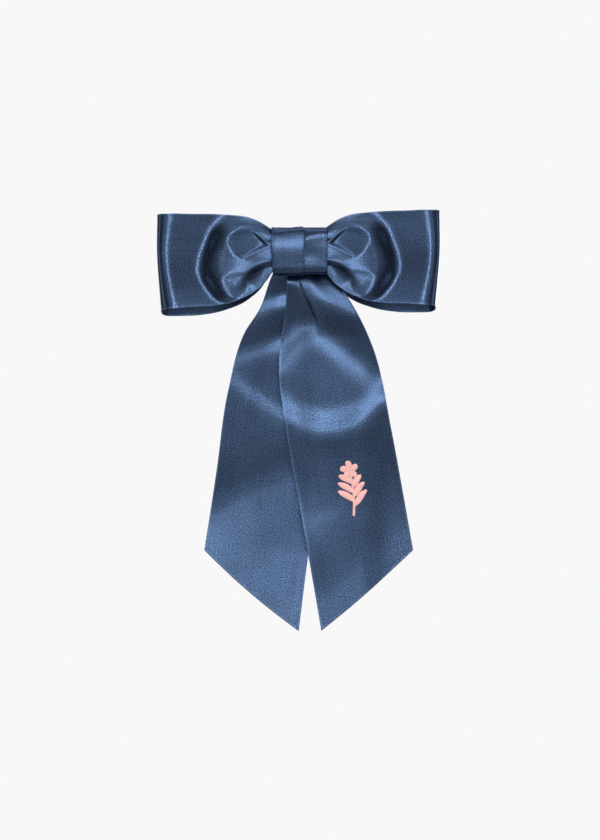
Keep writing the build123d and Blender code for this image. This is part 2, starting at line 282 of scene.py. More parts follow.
def yarn(name, dark, light, scale, sheen, bump_depth=0.00008):
    material, tree, shader = nodes_of(name)
    place = add(tree, "TexCoord")
    fibres = add(tree, "TexNoise", Scale=scale, Detail=5.0, Roughness=0.7)
    link(tree, place, "Object", fibres, "Vector")
    tone = ramp(tree, 0.32, 0.72, (dark, light))
    link(tree, fibres, 0, tone, 0)
    link(tree, tone, 0, shader, "Base Color")
    bump = add(tree, "Bump", Strength=0.6, Distance=bump_depth)
    link(tree, fibres, 0, bump, "Height")
    link(tree, bump, 0, shader, "Normal")
    shader.inputs["Roughness"].default_value = 0.62
    shader.inputs["Sheen Weight"].default_value = sheen
    shader.inputs["Sheen Roughness"].default_value = 0.5
    return material


satin_navy = satin(
    "navy_satin",
    dark=(0.034, 0.057, 0.108, 1),
    light=(0.052, 0.092, 0.172, 1),
    edge=(0.085, 0.150, 0.29, 1),
)
thread_navy = yarn("navy_thread", (0.012, 0.020, 0.045, 1), (0.03, 0.05, 0.11, 1), 2600.0, 0.3)
thread_pink = yarn(
    "pink_thread", (0.80, 0.42, 0.38, 1), (0.98, 0.62, 0.57, 1), 3000.0, 0.35, 0.00005
)
felt_navy = yarn(
    "navy_felt", (0.008, 0.014, 0.032, 1), (0.03, 0.045, 0.09, 1), 1400.0, 0.5, 0.0003
)
plate_metal = metal("nickel_plate", (0.72, 0.70, 0.66), 0.24, (900.0, 3000.0, 3000.0), 0.00001)
pin_metal = metal("pin_steel", (0.62, 0.62, 0.63), 0.20, (1500.0, 1500.0, 300.0), 0.00001)
spring_metal = metal("spring_steel", (0.56, 0.57, 0.60), 0.34, (200.0, 3000.0, 4200.0), 0.00002)

# ---------------------------------------------------------------- the loops
# A half loop is described by its distance out from the knot, r, and its height z.
TOP = [
    (0, 8.9), (11.5, 9.2), (13.6, 10.0), (15.3, 11.1), (19, 13.5), (24.2, 15.8), (34, 17.3),
    (53.6, 17.6), (65.8, 17.2), (69, 16.4),
]
BOTTOM = [
    (0, -9.2), (11.5, -9.6), (13.0, -10.5), (14.2, -12.2), (16, -14.8), (21.7, -20.1),
    (31, -24.7), (40.3, -26.8), (54.5, -27.8), (66.6, -29.2),
]
BACK_TOP = [(0, 8.6), (11.5, 8.9), (19, 11.5), (30, 14.5), (45, 16.2), (66, 16.6)]
BACK_BOTTOM = [
    (0, -9.0), (11.5, -9.4), (13.8, -10.6), (18.3, -17.6), (24.2, -23.0), (36.4, -28.6),
    (48.7, -31.0), (63.4, -31.6),
]
BACK_LIFT = [
    (0, 14.2), (10, 13.8), (13.8, 13.2), (20, 10.8), (31, 7.4), (45, 4.9), (57, 3.9), (63, 4.6),
]
CREST = [(63.6, 18.5), (65.2, 0), (61.5, -29)]
VALLEY = [
    (37.6, 17.2), (39.6, 14.7), (43.3, 10.2), (46.5, 3.0), (49.2, -5.4), (49.6, -9.8),
    (47.6, -15.6), (43.9, -21.0), (39.9, -24.6), (36.0, -26.4),
]
DOME_TOP = [(0.875, 26), (0.905, 20), (0.94, 15.5), (0.97, 14.2), (1.0, 13.8)]
DOME = [
    (30, 9.8), (33.4, 7.6), (34.8, 4.2), (33.6, 1.0), (31.2, -2.0), (29.0, -4.4), (29.4, -7.4),
    (33.0, -10.8), (37.0, -13.4), (37.5, -16.4), (35.6, -21.4), (32.6, -25.4),
]
HOLLOW_TOP = [
    (36, 2.8), (34.5, 4.0), (33.1, 6.4), (30.1, 8.6), (26.5, 9.5), (22.9, 9.1), (20.5, 7.4),
    (18.1, 5.2), (15.8, 3.3), (13.6, 2.5),
]
HOLLOW_LOW = [
    (36, 2.6), (34.5, 0.6), (33.4, -1.2), (31.0, -3.4), (27.7, -4.3), (24.1, -2.4), (19.9, 0.0),
    (16.0, 1.7), (13.6, 2.4),
]
WEDGE = [(12.0, -5.4), (14, -5.5), (18, -6.6), (22, -8.4), (26, -11.2), (30, -14.6)]
LOW_LEFT = [(37.6, -12), (37.4, -15.0), (36.6, -18.5), (35.2, -22.2), (33.4, -25)]
LOW_RIGHT = [(23.8, -14), (24.2, -17.0), (24.8, -19.4), (26.4, -22.0), (28.6, -25)]
LOW_TOP = [
    (20, -19.0), (24.0, -16.8), (25.7, -15.9), (28.0, -16.4), (30.4, -16.8), (33.5, -15.5),
    (36.0, -13.6), (37.4, -13.2), (38.5, -14.0),
]
CREST_LIFT, VALLEY_LIFT, DOME_LIFT, KNOT_LIFT = 20.6, 16.6, 21.3, 19.5
FLANK = 3.0            # how far the satin climbs at once on the valley's inner side
KNOT_SIDE = 13.6       # r where the loop comes out of the knot band
UNDER_BAND = 17.4      # lift of the gathered ribbon inside the band
BACK_START = 62.0      # r where the turn ends and the back begins
REACH = 69.2           # r of the loop's outer end at its top edge, less further down
TURN_CORNER = 0.6      # below 1 the outer turn is squarer than a circle


def by_row(points):
    """Turn a line of (r, z) points into r as a function of the share of the width below it."""
    p = np.array(points, float)
    low, high = curve(BOTTOM, p[:, 0]), curve(TOP, p[:, 0])
    return list(zip(np.clip((p[:, 1] - low) / (high - low), 0, 1), p[:, 0]))


def front_lift(r, z, share):
    crest = curve(by_row(CREST), share)
    valley = curve(by_row(VALLEY), share)
    dome = np.minimum(curve(by_row(DOME) + DOME_TOP, share), valley - 7)
    high = smooth(0.80, 0.93, share)
    floor = VALLEY_LIFT - 0.9 * high
    flank = FLANK * (1 - 0.8 * high)
    peak = DOME_LIFT - 1.4 * high
    lift = CREST_LIFT - (CREST_LIFT - floor) * ease((crest - r) / (crest - valley), 0.145)
    inside_valley = np.clip(valley - r, 0, None)
    lift = lift + flank * (1 - np.exp(-((inside_valley / 5.6) ** 2)))
    gentle = (valley - r) / (valley - dome)
    ridge = smooth(-3.6, -6.0, z) * smooth(-13.4, -10.6, z)
    climb = (1 - ridge) * ease(gentle, 0.18) + ridge * ease(gentle, 0.48)
    lift = lift + (peak - floor - flank) * climb
    belly = smooth(0.30, 0.42, share) * smooth(0.80, 0.62, share)
    lift = lift - 0.13 * belly * smooth(10.4, 12.6, inside_valley)
    inward = np.clip((dome - r) / np.maximum(dome - KNOT_SIDE, 0.5), 0, 1)
    drop = (1 - ridge) * (1 - (1 - inward) ** 1.7) + ridge * 0.42 * ease(inward, 0.48)
    lift = lift - (peak - KNOT_LIFT) * drop
    # the top edge rolls back beside the knot
    curl = np.clip((share - 0.84) / 0.16, 0, 1)
    lift = lift - 2.4 * curl**1.7 * smooth(40, 15, r)
    # the teardrop hollow beside the knot
    inside = np.minimum(curve(HOLLOW_TOP, r) - z, z - curve(HOLLOW_LOW, r))
    depth = 1.2 * ease((35.2 - r) / 17, 0.22) * smooth(12.6, 17.5, r)
    lift = lift - depth * smooth(-0.8, 2.0, inside) * (r < 36)
    rim = np.exp(-(((inside + 0.3) / 0.9) ** 2))
    lift = lift + 0.16 * rim * smooth(30, 25, r) * smooth(13, 16, r)
    lift = lift - 0.6 * np.exp(-(((r - 14.0) / 2.0) ** 2) - ((z - 4.0) / 0.8) ** 2)
    # the fold under the middle ridge, deep at the knot
    under = curve(WEDGE, r) - z
    deep = 3.6 * smooth(29, 16, r)
    lift = lift - 1.1 * deep * smooth(-0.3, 2.7, under) + 0.75 * deep * smooth(2.6, 11, under)
    # the shallow hollow low on the loop
    left, right = curve(swap(LOW_LEFT), z), curve(swap(LOW_RIGHT), z)
    dip = ease((left - r) / (left - right + 1.5), 0.25) * smooth(-4.5, 4.0, r - right)
    lift = lift - 1.2 * smooth(-1.8, 3.4, curve(LOW_TOP, r) - z) * dip
    return lift


def loop_half(rows):
    """Points of the left loop as (r, z, lift), from the middle of the front round to the back."""
    share = (rows + HALF) / RIBBON
    crest = curve(by_row(CREST), share)
    parts = []
    r = np.concatenate(
        [
            np.repeat(np.linspace(0, 13.2, 9)[:, None], len(rows), 1),
            KNOT_SIDE + (crest - KNOT_SIDE) * np.linspace(0, 1, 104)[:, None],
        ]
    )
    low, high = curve(BOTTOM, r), curve(TOP, r)
    z = low + share * (high - low)
    lift = front_lift(np.maximum(r, KNOT_SIDE), z, np.broadcast_to(share, r.shape))
    lift = UNDER_BAND + (lift - UNDER_BAND) * smooth(6, 14.5, r)
    parts.append(np.stack([r, z, lift], -1))
    edge_z = z[-1]
    back_low, back_high = curve(BACK_BOTTOM, BACK_START), curve(BACK_TOP, BACK_START)
    back_edge = back_low + share * (back_high - back_low)
    turn = np.linspace(0, math.pi, 37)[1:, None]
    half_way = (1 - np.cos(turn)) / 2
    reach = REACH - 1.7 * (1 - share) ** 2
    bow = np.sin(turn).clip(0, 1) ** TURN_CORNER
    fall = np.sign(np.cos(turn)) * np.abs(np.cos(turn)) ** TURN_CORNER
    r = crest + (BACK_START - crest) * half_way + (reach - (crest + BACK_START) / 2) * bow
    back_lift = curve(BACK_LIFT, BACK_START)
    past = np.clip(r - crest, 0, None)
    lift = (CREST_LIFT + back_lift) / 2 + (CREST_LIFT - back_lift) / 2 * fall
    lift = lift - 0.22 * past**2 / (past + 1.0) * (1 - half_way)
    parts.append(np.stack([r, edge_z + (back_edge - edge_z) * half_way, lift], -1))
    r = np.repeat(np.linspace(BACK_START, 0, 64)[1:, None], len(rows), 1)
    low, high = curve(BACK_BOTTOM, r), curve(BACK_TOP, r)
    z = low + share * (high - low)
    pleats = 0.5 * np.sin(share * 19 + 0.6) * smooth(40, 18, r) * smooth(8, 16, r)
    swell = 0.7 * np.sin(r / 9.0 + share * 2.0) * smooth(60, 50, r) * smooth(20, 30, r)
    parts.append(np.stack([r, z, curve(BACK_LIFT, r) + pleats + swell], -1))
    return np.concatenate(parts)


rows = across_rows(86)
half = loop_half(rows)
left = np.stack([-half[..., 0], -half[..., 2], half[..., 1]], -1)
settle = smooth(0, 15, half[..., 0])
right = np.stack(
    [
        half[..., 0] - 0.8 * settle,
        -half[..., 2],
        half[..., 1] + (0.5 + 0.022 * half[..., 0]) * settle,
    ],
    -1,
)
ring = np.concatenate([left, right[::-1][1:-1]])
step = np.linalg.norm(np.diff(np.concatenate([ring, ring[:1]]), axis=0), axis=-1).mean(1)
along = np.concatenate([[0], np.cumsum(step)])
loops = ribbon(
    "loop_ribbon_satin",
    ring,
    np.broadcast_to(rows, (len(along), len(rows))),
    np.repeat(along[:, None], len(rows), 1),
    thickness_at(rows),
    closed=True,
)
loops.data.materials.append(satin_navy)
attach(loops, "bow_and_plate")
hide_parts("loop_ribbon")

# ---------------------------------------------------------------- the tails
# Each row of a tail: the distance along the ribbon, its outer edge (x, z), its inner edge (x, z).
LEFT_ROWS = [
    (-22, -9.5, 8, 5.7, 8), (-8, -10.6, -5.6, 7.2, -5.6), (0, -14.2, -13.6, 10.4, -13.6),
    (14, -19.3, -27.7, 13.4, -28.5), (28, -27.0, -39.8, 15.6, -43.0), (57, -35.1, -68.2, 16.3, -73),
    (97, -40.8, -107, 9.8, -113.7), (137.4, -46.9, -147, 3.75, -154),
    (170, -51.8, -179.2, -0.3, -186.2),
]
RIGHT_ROWS = [
    (-22, 9.5, 8, -5.7, 8), (-8, 13.0, -5.6, -5.8, -5.6), (0, 17.0, -13.6, -6.0, -13.6),
    (13, 23.4, -22.5, -6.5, -25.5), (40, 35.7, -46.8, -10.0, -53.5), (80, 44.7, -86.2, -5.3, -94.8),
    (106, 49.6, -112, -0.7, -120.5), (141, 55.7, -146.4, 5.5, -155.3),
    (172, 61.1, -177.0, 10.7, -185.6),
]
LEFT_CUT = (137.4, 170.0)     # where the hem starts and ends along the ribbon, outer and inner
RIGHT_CUT = (141.0, 172.0)


# Lines of (x, z) on the tails where their slope changes: the right tail's crease, the shade
# under the knot, the top and the foot of the broad fold, and where the left tail turns to the
# light again.
RIGHT_CREASE = [(0.2, -14.7), (2.4, -20), (6.6, -29), (9.0, -36), (8.4, -41), (8.0, -46)]
RIGHT_UNDER_KNOT = [(-1, -17), (2.3, -18), (12, -20.5), (22.4, -25), (30, -29)]
RIGHT_FOLD_TOP = [
    (-12, -56), (-9.4, -52), (1.3, -41), (8, -40.5), (12.6, -44), (27, -56), (37, -64), (42, -68),
]
RIGHT_FOLD_LOW = [
    (-12, -76), (-6, -80.4), (3.8, -85.3), (17.5, -86.2), (32.2, -80.4), (39.5, -73), (42, -69),
]
LEFT_UNDER_KNOT = [(-30, -35), (-20, -28), (-14, -25.4), (-7, -24.3), (0, -24)]
LEFT_FOLD_TOP = [(-46, -58), (-31.5, -53), (-21, -50), (-11, -46), (0, -42)]
LEFT_FOLD_LOW = [(-40, -60), (-32, -64), (-25, -70), (-16, -76.5), (-7.5, -81.5), (0, -84)]
LEFT_LIGHT = [(-50, -130), (-46, -128), (-30, -118), (-10, -109), (5, -106)]
LAID_ON = 1.1          # least lift between the left tail and the right one laid over it


def facing(z):
    """The slope at which a ribbon shows the key light to the viewer."""
    light = (KEY[2] - z) / -KEY[1]
    eye = (CAMERA[2] - z) / -CAMERA[1]
    return (light + eye) / 2


# The tails' heights are worked out on one upright grid: a slope is chosen at each point, as an
# offset from the slope that faces the light, and the slopes are summed down each column.
CELL = 0.5
TOP_Z = -6             # above this height a tail is inside the knot and nearly flat
X = np.arange(-62, 66, CELL)
Z = np.arange(10, -192, -CELL)
GX, GZ = np.meshgrid(X, Z, indexing="ij")


def blur(field, width):
    """Smooth the field sideways, so that neighbouring columns agree."""
    k = np.exp(-0.5 * (np.arange(-3 * width, 3 * width + 1) / width) ** 2)
    k /= k.sum()
    pad = np.pad(field, ((3 * width, 3 * width), (0, 0)), mode="edge")
    return sum(w * pad[i : i + field.shape[0]] for i, w in enumerate(k))


def crease_x(z):
    """Where the right tail's fold line runs, below the knot."""
    return curve(swap(RIGHT_CREASE), z)


def right_offset():
    x, z = GX, GZ
    flap = smooth(0.6, -0.6, x - crease_x(z))
    under_knot = curve(RIGHT_UNDER_KNOT, x) * (1 - flap) - 16.4 * flap
    top = curve(RIGHT_FOLD_TOP, x)
    low = curve(RIGHT_FOLD_LOW, x)
    hem = -179 + 0.87 * x
    tall = 1 - 0.6 * flap
    offset = 0.34 - 0.34 * smooth(6 * tall, 0.8 * tall, z - under_knot)
    offset = offset - 0.275 * smooth(-1.5 * tall, -8 * tall, z - under_knot)
    offset = offset + 0.25 * smooth(9.5, 0, z - top) - 0.12 * smooth(-1, -12, z - top)
    offset = offset + 0.15 * smooth(14, 2, z - low) - 0.26 * smooth(2, -9, z - low)
    offset = offset + 0.08 * smooth(-105, -135, z) + 0.075 * smooth(14, -10, z - hem)
    streak = np.exp(-(((z + 131.0 - 0.45 * (x - 9)) / 3.0) ** 2))
    offset = offset + 0.028 * streak * smooth(26, 14, x)
    return offset


def left_offset():
    x, z = GX, GZ
    under_knot = curve(LEFT_UNDER_KNOT, x)
    top = curve(LEFT_FOLD_TOP, x)
    low = curve(LEFT_FOLD_LOW, x)
    offset = 0.34 - 0.60 * smooth(-9.5, -12, z) + 0.26 * smooth(5.5, 1, z - under_knot)
    offset = offset - 0.28 * smooth(-1, -7, z - under_knot)
    offset = offset + 0.20 * smooth(8, 0, z - top) - 0.15 * smooth(0, -8, z - top)
    offset = offset + 0.13 * smooth(10, 1, z - low) - 0.14 * smooth(2, -10, z - low)
    light = curve(LEFT_LIGHT, x)
    offset = offset + 0.20 * smooth(8, -8, z - light) - 0.035 * smooth(-16, -40, z - light)
    return offset


def lifted(offset, start):
    """Heights whose slope down each column is the facing slope plus an offset."""
    slope = facing(GZ) + offset
    slope = np.where(GZ > TOP_Z, 0.02, slope)
    return blur(start + np.cumsum(slope * CELL, axis=1), 6)


def read(field, x, z):
    """The field's height at any (x, z), from the four grid points round it."""
    i = np.clip((x - X[0]) / CELL, 0, len(X) - 1.001)
    j = np.clip((Z[0] - z) / CELL, 0, len(Z) - 1.001)
    a, b = i.astype(int), j.astype(int)
    fx, fz = i - a, j - b
    return (
        field[a, b] * (1 - fx) * (1 - fz)
        + field[a + 1, b] * fx * (1 - fz)
        + field[a, b + 1] * (1 - fx) * fz
        + field[a + 1, b + 1] * fx * fz
    )


right_field = lifted(right_offset(), 9.6)
past_crease = GX - crease_x(GZ)
right_field -= 0.11 * np.clip(-past_crease, 0, 14) * smooth(-62, -30, GZ) * smooth(-15, -20, GZ)
right_field += 0.85 * smooth(-0.7, 0.1, past_crease) * smooth(-43, -30, GZ) * smooth(-8, -13, GZ)
left_field = lifted(left_offset(), 7.9)
right_inner = curve([(row[4], row[3]) for row in RIGHT_ROWS], GZ)
left_field -= 0.9 * np.exp(-(((GX - right_inner - 0.5) / 5.0) ** 2) - ((GZ + 39.5) / 9.0) ** 2)
left_field += 2.0 * smooth(-45, -110, GZ)
left_field -= 0.055 * np.clip(GX + 45, 0, 60) * smooth(-95, -150, GZ)
right_field += 0.055 * np.clip(56 - GX, 0, 56) * smooth(-95, -155, GZ)
over = left_field + LAID_ON - right_field
hidden = smooth(-3.0, 0.3, GX - right_inner)
eased = np.where(over > -1, (over + 1) ** 2 / 4, 0) * (over < 1)
left_field -= hidden * eased + hidden * np.where(over >= 1, over, 0)


def tail(name, table, cut, bulge, field, rows):
    outer_x, outer_z, inner_x, inner_z = (
        [(row[0], row[k]) for row in table] for k in (1, 2, 3, 4)
    )
    share = (rows + HALF) / RIBBON
    end = cut[0] + (cut[1] - cut[0]) * share + bulge * 4 * share * (1 - share)
    start = table[0][0]
    v = start + (end - start) * np.linspace(0, 1, 330)[:, None]
    x = curve(outer_x, v) * (1 - share) + curve(inner_x, v) * share
    z = curve(outer_z, v) * (1 - share) + curve(inner_z, v) * share
    lift = read(field, x, z)
    pleat = 0.35 * np.sin(share * 15.0) * smooth(16, 2, v)
    points = np.stack([x, -(lift + pleat), z], -1)
    u = np.broadcast_to(rows, v.shape[:1] + rows.shape)
    thick = thickness_at(rows) + 0.16 * smooth(-0.7, 0, v - end)
    piece = ribbon(name, points, u, np.broadcast_to(v, x.shape), thick)
    piece.data.materials.append(satin_navy)
    return piece


rows = across_rows(70)
left_tail = tail("left_tail_satin", LEFT_ROWS, LEFT_CUT, 1.4, left_field, rows)
right_tail = tail("right_tail_satin", RIGHT_ROWS, RIGHT_CUT, 0.7, right_field, rows)
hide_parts("left_tail", "left_tail_head")
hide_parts("right_tail", "right_tail_head")
right_tree = BVHTree.FromPolygons(
    [v.co.copy() for v in right_tail.data.vertices],
    [tuple(p.vertices) for p in right_tail.data.polygons],
)
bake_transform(left_tail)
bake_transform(right_tail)

# ---------------------------------------------------------------- the knot band
# One turn round the waist, as (z, lift): the front falls away a little below the middle.
TURN = [
    (11.3, 16.4), (10.9, 18.5), (9.8, 19.8), (8, 20.36), (5, 20.75), (2, 20.94), (-1, 20.92),
    (-4, 20.73),
    (-6.6, 20.53), (-9.2, 20.36), (-11.1, 19.0), (-11.7, 15.8), (-11.1, 12.9), (-9, 11.3),
    (0, 10.9), (9, 11.3), (11.0, 13.2),
]
# Across the band's ribbon: where each place lies along x, and how far it is out from the turn.
# Its left part is folded over to the front, its right edge is turned in behind.
BAND_PATH = [
    (-25.5, 1.8), (-10.2, -13.4), (-9.6, -13.75), (-9.0, -13.4), (17.4, 13.2), (17.8, 13.6),
    (18.2, 13.2), (25.5, 6.0),
]
BAND_LAYER = [
    (-25.5, 0.5), (-11.5, 0.5), (-9.6, 0.25), (-8, 0.0), (16, 0.0), (17.8, -0.22), (19.4, -0.45),
    (25.5, -0.45),
]


def closed_turn(points, count):
    """A closed smooth curve through the points."""
    p = np.array(points + points[:3], float)
    p = np.concatenate([p[-4:-3], p])
    out = []
    for t in np.linspace(0, len(points), count, endpoint=False):
        i = int(t)
        f = t - i
        a, b, c, d = p[i], p[i + 1], p[i + 2], p[i + 3]
        square, cube = 2 * a - 5 * b + 4 * c - d, 3 * b - a - 3 * c + d
        out.append(0.5 * (2 * b + (c - a) * f + square * f**2 + cube * f**3))
    return np.array(out)


# Places across the band's ribbon, closer together at its two folds and its edge.
BAND_SPANS = [
    (-25.5, -24.5, 5), (-24.1, -10.6, 28), (-10.4, -8.8, 12), (-8.4, 16.8, 50), (17.0, 18.8, 12),
    (19.2, 25.5, 10),
]
u = np.concatenate([np.linspace(*span) for span in BAND_SPANS])
turn = closed_turn(TURN, 120)
for _ in range(10):
    turn = 0.5 * turn + 0.25 * (np.roll(turn, 1, 0) + np.roll(turn, -1, 0))
band_x = np.interp(u, *np.array(BAND_PATH).T)
layer = np.interp(u, *np.array(BAND_LAYER).T)
z = np.repeat(turn[:, :1], len(u), 1)
lift = np.repeat(turn[:, 1:], len(u), 1)
top_layer = smooth(-9.0, -10.2, u)
lean_top = 1 - top_layer * 0.13 * (1 - smooth(-14, 2, band_x))
z = np.where(z > 0, z * lean_top, z)
front = smooth(14, 19, lift)
pull = (1 - top_layer) * smooth(1.5, 3.5, band_x) * front
wrinkle = z - 4.8 - 3.6 * (1 - np.exp(-(band_x - 2.3) / 5.0))
lift = lift + pull * 0.52 * np.exp(-((wrinkle / 3.3) ** 2)) * smooth(-6, 2, z)
lift = lift - pull * 0.32 * np.exp(-(((z + 2.4) / 3.0) ** 2)) * smooth(16, 5, band_x)
lift = lift - front * (1 - top_layer) * 0.3 * np.exp(-(((band_x - 2.1) / 0.5) ** 2))
lift = lift + front * 0.16 * np.exp(-(((np.abs(band_x) - 12.3) / 0.4) ** 2)) * (np.abs(u) < 24)
middle = np.array([0.15, 15.8])
radial = np.stack([z - middle[0], (lift - middle[1]) * 1.6], -1)
radial /= np.linalg.norm(radial, axis=-1, keepdims=True)
z = z + radial[..., 0] * layer
lift = lift + radial[..., 1] * layer
slant = 0.035 * (z - 11) * smooth(0, -14, band_x)
points = np.stack([band_x - slant, -lift, z], -1)
ring_length = np.linalg.norm(np.diff(np.concatenate([turn, turn[:1]]), axis=0), axis=-1)
v = np.concatenate([[0], np.cumsum(ring_length)])
band = ribbon(
    "knot_band_satin",
    points,
    np.broadcast_to(0.96 * u, (len(v), len(u))),
    np.repeat(v[:, None], len(u), 1),
    SHEET - 0.04,
    closed=True,
)
band.data.materials.append(satin_navy)
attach(band, "bow_and_plate")
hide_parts("knot_band")


# ---------------------------------------------------------------- threads
def twisted(name, paths, radius, material, plies=2, turns_per_mm=0.55, closed=False):
    """Thread along each path (mm): plies wound round each other."""
    points, faces = [], []
    for path in paths:
        path = np.array(path, float)
        if closed:
            path = np.concatenate([path, path[:1]])
        seg = np.linalg.norm(np.diff(path, axis=0), axis=1)
        s = np.concatenate([[0], np.cumsum(seg)])
        count = max(8, int(s[-1] / 0.22))
        at = np.linspace(0, s[-1], count + 1)[: count if closed else count + 1]
        line = np.stack([np.interp(at, s, path[:, k]) for k in range(3)], 1)
        if closed:
            ahead = np.roll(line, -1, 0) - np.roll(line, 1, 0)
        else:
            ahead = np.gradient(line, axis=0)
        ahead /= np.linalg.norm(ahead, axis=1, keepdims=True)
        ref = np.array([0.31, 0.53, 0.79])
        side = np.cross(ahead, ref)
        side /= np.linalg.norm(side, axis=1, keepdims=True)
        other = np.cross(ahead, side)
        if closed:
            turns = round(s[-1] * turns_per_mm)
            phase = at / s[-1] * turns * 2 * math.pi
        else:
            phase = at * turns_per_mm * 2 * math.pi
        for ply in range(plies):
            a = phase + 2 * math.pi * ply / plies
            centre = line + 0.5 * radius * (side * np.cos(a)[:, None] + other * np.sin(a)[:, None])
            base = len(points)
            for k in range(6):
                b = 2 * math.pi * k / 6
                points.extend(centre + 0.56 * radius * (side * math.cos(b) + other * math.sin(b)))
            n = len(line)
            for k in range(6):
                k2 = (k + 1) % 6
                for i in range(n if closed else n - 1):
                    i2 = (i + 1) % n
                    near, far = base + k * n, base + k2 * n
                    faces.append([near + i, near + i2, far + i2, far + i])
            if not closed:
                faces.append([base + k * n for k in range(5, -1, -1)])
                faces.append([base + k * n + n - 1 for k in range(6)])
    piece = make_mesh(name, points, faces)
    piece.data.materials.append(material)
    return piece


def rounded(y0, y1, z0, z1, corner, x):
    """A rounded rectangle in the Y-Z plane at x."""
    out = []
    near, far = y1 - corner, y0 + corner
    top, bottom = z1 - corner, z0 + corner
    for cy, cz, start in ((near, top, 0), (far, top, 90), (far, bottom, 180), (near, bottom, 270)):
        for degrees in range(start, start + 91, 15):
            a = math.radians(degrees)
            out.append((x, cy + corner * math.cos(a), cz + corner * math.sin(a)))
    return out


# Three wraps round the waist, inside the band.
wraps = [rounded(-19.4, -12.1, -10.1, 10.1, 2.8, x) for x in (-1.4, 0.0, 1.4)]
gather = twisted("gathering_thread_plies", wraps, 0.26, thread_navy, closed=True)
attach(gather, "bow_and_plate")
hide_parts("gathering_thread")

# One seam stitch, from where it comes out of the band's back to where it goes in again.
STITCH = [
    (-1.15, -11.1, 3.7), (-0.8, -10.75, 3.8), (0, -10.62, 4.0), (0.8, -10.75, 4.2),
    (1.15, -11.1, 4.3),
]
SEAM_COUNT, SEAM_PITCH = 7, 3.6
seam = []
for k in range(SEAM_COUNT):
    x = (k - 3) * SEAM_PITCH
    seam.append([(x + dx, y, z) for dx, y, z in STITCH])
seam_thread = twisted("band_seam_thread", seam, 0.26, thread_navy)
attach(seam_thread, "bow_and_plate")
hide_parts("band_seam_stitches")

# Pairs of threads that tie the plate on: round it near the middle, and through its end holes.
stitches = []
for x in (-6.0, 6.0):
    for shift in (-0.24, 0.24):
        stitches.append(rounded(-11.9, -5.35, -5.15, 5.15, 0.7, x + shift))
for x in (-30.0, 30.0):
    for side in (-1, 1):
        low, high = side * 2.75 - 2.55, side * 2.75 + 2.55
        for shift in (-0.2, 0.2):
            stitches.append(rounded(-8.05, -3.65, low, high, 0.6, x + shift))
mount_thread = twisted("mounting_thread", stitches, 0.25, thread_navy, closed=True)
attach(mount_thread, "bow_and_plate")
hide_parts("mounting_stitches")

# ---------------------------------------------------------------- the felt pad
# The clip and the felt are bent to arcs about one upright line, this far behind the origin.
CLIP_CENTRE = 254.2
FELT_OFFSET = 7.12     # how far in front of the origin the felt's middle lies
FELT_HALF = 34         # half the felt's length
FELT_END = 4           # radius of its rounded ends


def felt_points(offset):
    """The felt's grid: x along it, z across it, y on the arc, and t from edge to edge."""
    xs = np.linspace(-FELT_HALF, FELT_HALF, 150)
    ts = np.linspace(-1, 1, 34)
    x, t = np.meshgrid(xs, ts, indexing="ij")
    into_end = np.clip(np.abs(x) - (FELT_HALF - FELT_END), 0, FELT_END)
    end = np.sqrt(np.clip(1 - (into_end / FELT_END) ** 2, 0, 1))
    width = 2.0 + 4.0 * end
    z = t * width
    y = CLIP_CENTRE - np.sqrt((CLIP_CENTRE + offset) ** 2 - x**2)
    return x, y, z, t


x, y, z, t = felt_points(FELT_OFFSET)
fuzz = 0.09 * np.sin(x * 5.1 + 3 * np.sin(z * 2.3)) * np.sin(z * 6.2 + 2 * np.sin(x * 1.7))
edge = np.minimum(1 - np.abs(t), 0.22) / 0.22
edge = np.minimum(edge, np.clip((FELT_HALF - np.abs(x)) / 0.9, 0, 1))
felt = ribbon(
    "felt_pad_wool",
    np.stack([x, y + 0.3 * fuzz, z + 0.5 * fuzz * (np.abs(t) > 0.98)], -1),
    z,
    x,
    0.42 + 0.55 * np.sqrt(np.clip(edge, 0, 1)) + 0.4 * fuzz * (edge > 0.5),
)
felt.data.materials.append(felt_navy)
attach(felt, "bow_and_plate")
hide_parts("felt_pad")

# ---------------------------------------------------------------- the embroidered sprig
SPRIG = np.array([25.8, -116.0])   # the sprig's middle, as (x, z)
LEAN = math.radians(9)             # how far it leans, with the tail
STRAND = 0.19                      # radius of its thread
LEAF_ANGLE = math.radians(42)
FLOWER = 9.0                       # height of the flower's middle above the sprig's
stitches = []


def on_tail(a, b):
    """A point of the sprig's own plane, as (x, z) on the tail."""
    c, s = math.cos(LEAN), math.sin(LEAN)
    return np.array([SPRIG[0] + a * c - b * s, SPRIG[1] + a * s + b * c])


def satin_stitch(centre_line, half_width, slant=0.35, pitch=0.27):
    """Threads laid side by side across a shape."""
    line = np.array(centre_line, float)
    seg = np.linalg.norm(np.diff(line, axis=0), axis=1)
    s = np.concatenate([[0], np.cumsum(seg)])
    for at in np.arange(pitch / 2, s[-1], pitch):
        p = np.array([np.interp(at, s, line[:, k]) for k in (0, 1)])
        q = np.array([np.interp(min(at + 0.05, s[-1]), s, line[:, k]) for k in (0, 1)])
        o = np.array([np.interp(max(at - 0.05, 0), s, line[:, k]) for k in (0, 1)])
        d = (q - o) / max(np.linalg.norm(q - o), 1e-9)
        n = np.array([-d[1], d[0]])
        w = half_width(at / s[-1])
        across = n * w + d * slant * w
        stitches.append((p - across, p + across, 0.30 + 0.18 * min(w, 1.6)))


def leaf_width(t):
    return 0.25 + 1.35 * math.sin(math.pi * min(t * 0.94 + 0.03, 1)) ** 0.8


def petal_width(t):
    return 0.45 + 1.1 * math.sin(math.pi * min(t * 0.9 + 0.05, 1)) ** 0.8


def heart_width(t):
    return 0.3 + 0.85 * math.sin(math.pi * t)


